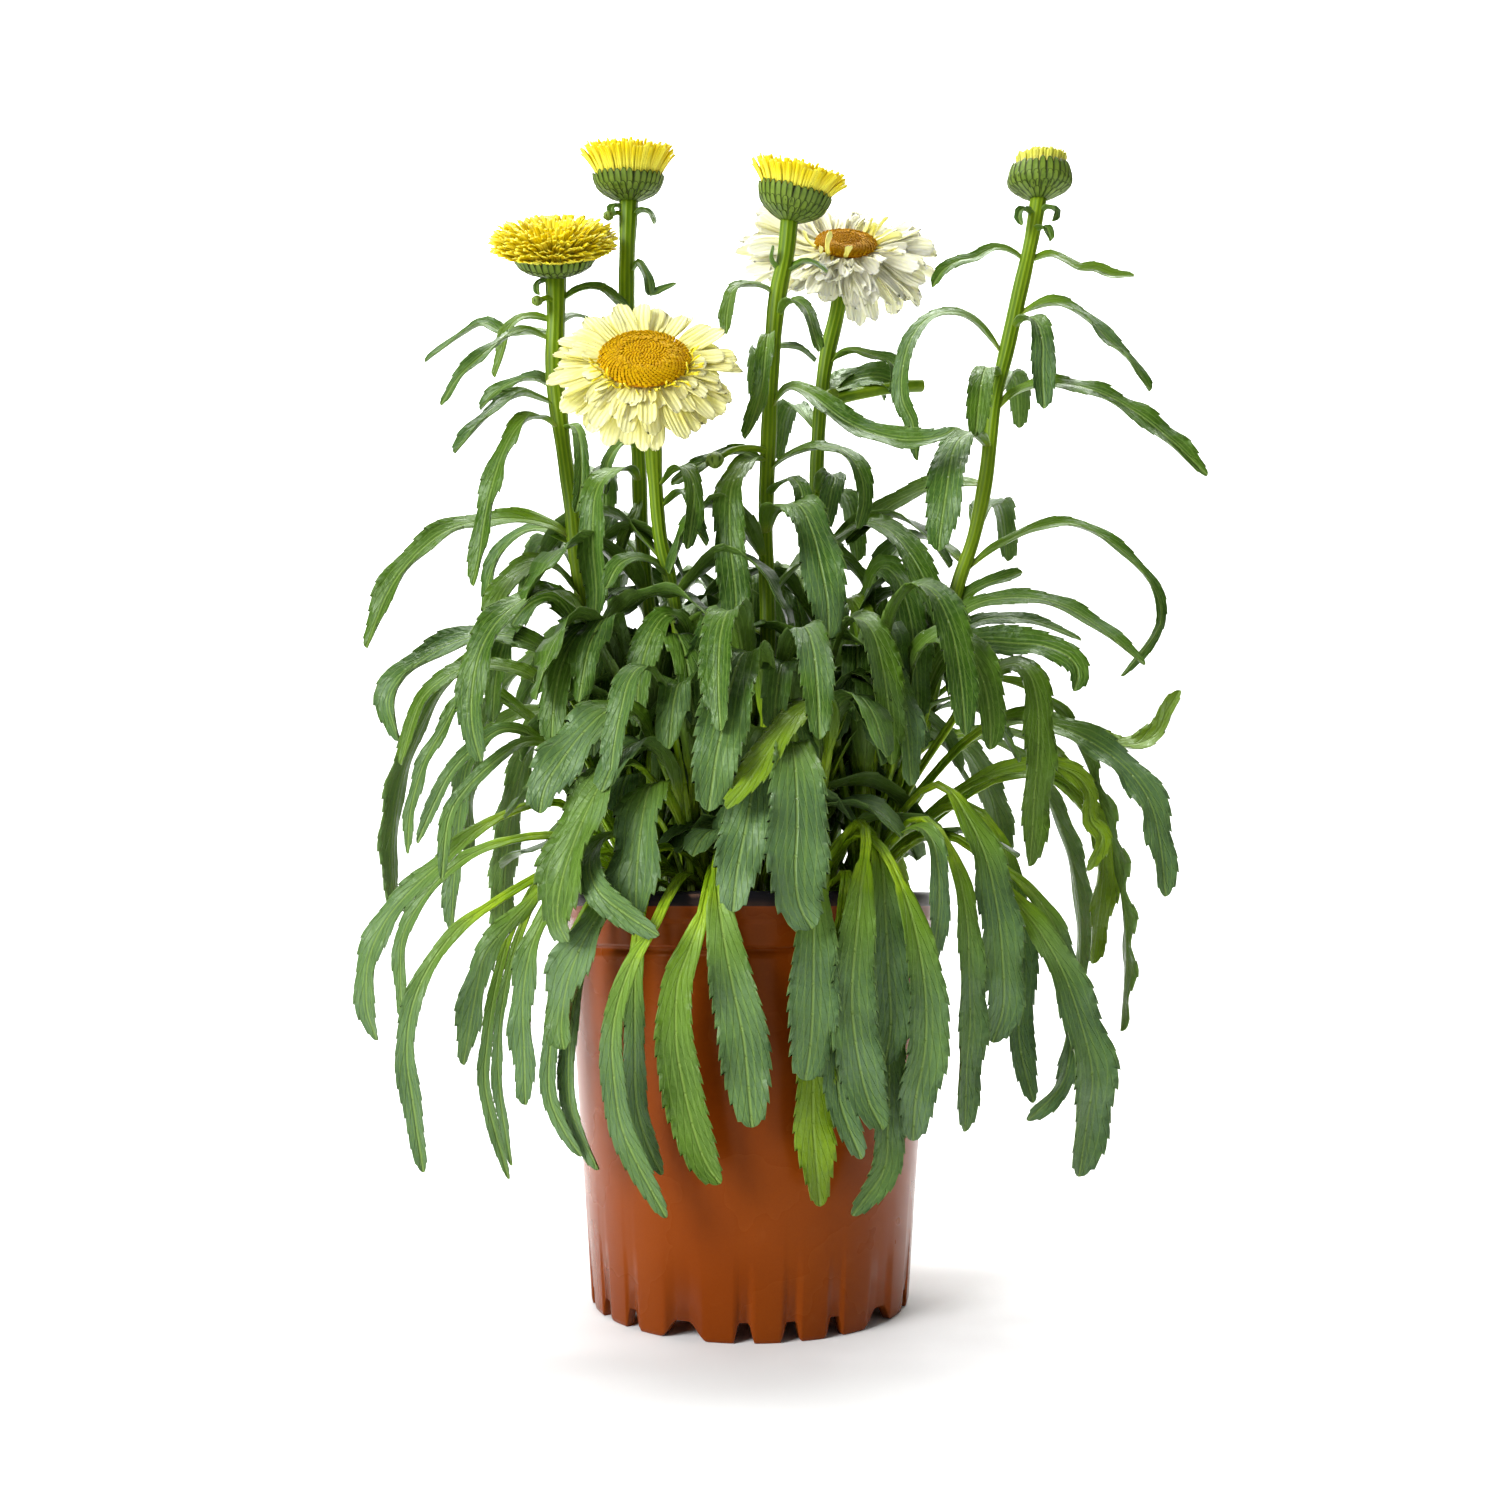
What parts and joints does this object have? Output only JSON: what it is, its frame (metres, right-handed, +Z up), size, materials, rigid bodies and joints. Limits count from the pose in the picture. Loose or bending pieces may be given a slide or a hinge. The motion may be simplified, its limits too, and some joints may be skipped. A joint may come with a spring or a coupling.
{
  "type": "potted shasta daisy",
  "caption": "Potted shasta daisy with cream-yellow daisy blooms, brush-like yellow buds and long arching toothed leaves in a round terracotta-brown nursery pot.",
  "frame": {"origin": "centre of the pot's flat floor pad, in the plane that the pot stands on", "axes": "+Z up along the pot's axis, -Y towards the side shown in the picture, +X to that side's right"},
  "size_m": [0.3935, 0.2953, 0.5482],
  "materials": {
    "pot_plastic": "satin",
    "soil_mix": "matte",
    "leaf": "satin",
    "stem": "satin",
    "ray_yellow": "matte",
    "petal_cream": "matte",
    "petal_white": "matte",
    "disc_gold": "matte"
  },
  "bodies": {
    "root": {"pot": "pot_plastic", "soil": "soil_mix", "stem_half_open": "stem", "stem_left_bud": "stem", "stem_cream_bloom": "stem", "stem_middle_bud": "stem", "stem_white_bloom": "stem", "stem_right_bud": "stem", "rays_half_open": "ray_yellow", "rays_left_bud": "ray_yellow", "rays_middle_bud": "ray_yellow", "rays_right_bud": "ray_yellow", "petals_cream_bloom": "petal_cream", "disc_cream_bloom": "disc_gold", "petals_white_bloom": "petal_white", "disc_white_bloom": "disc_gold", "leaves_right": "leaf", "leaves_front_right": "leaf", "leaves_front_middle": "leaf", "leaves_front_left": "leaf", "leaves_left": "leaf", "leaves_back_right": "leaf", "leaves_back": "leaf", "leaves_back_left": "leaf"}
  },
  "joints": []
}
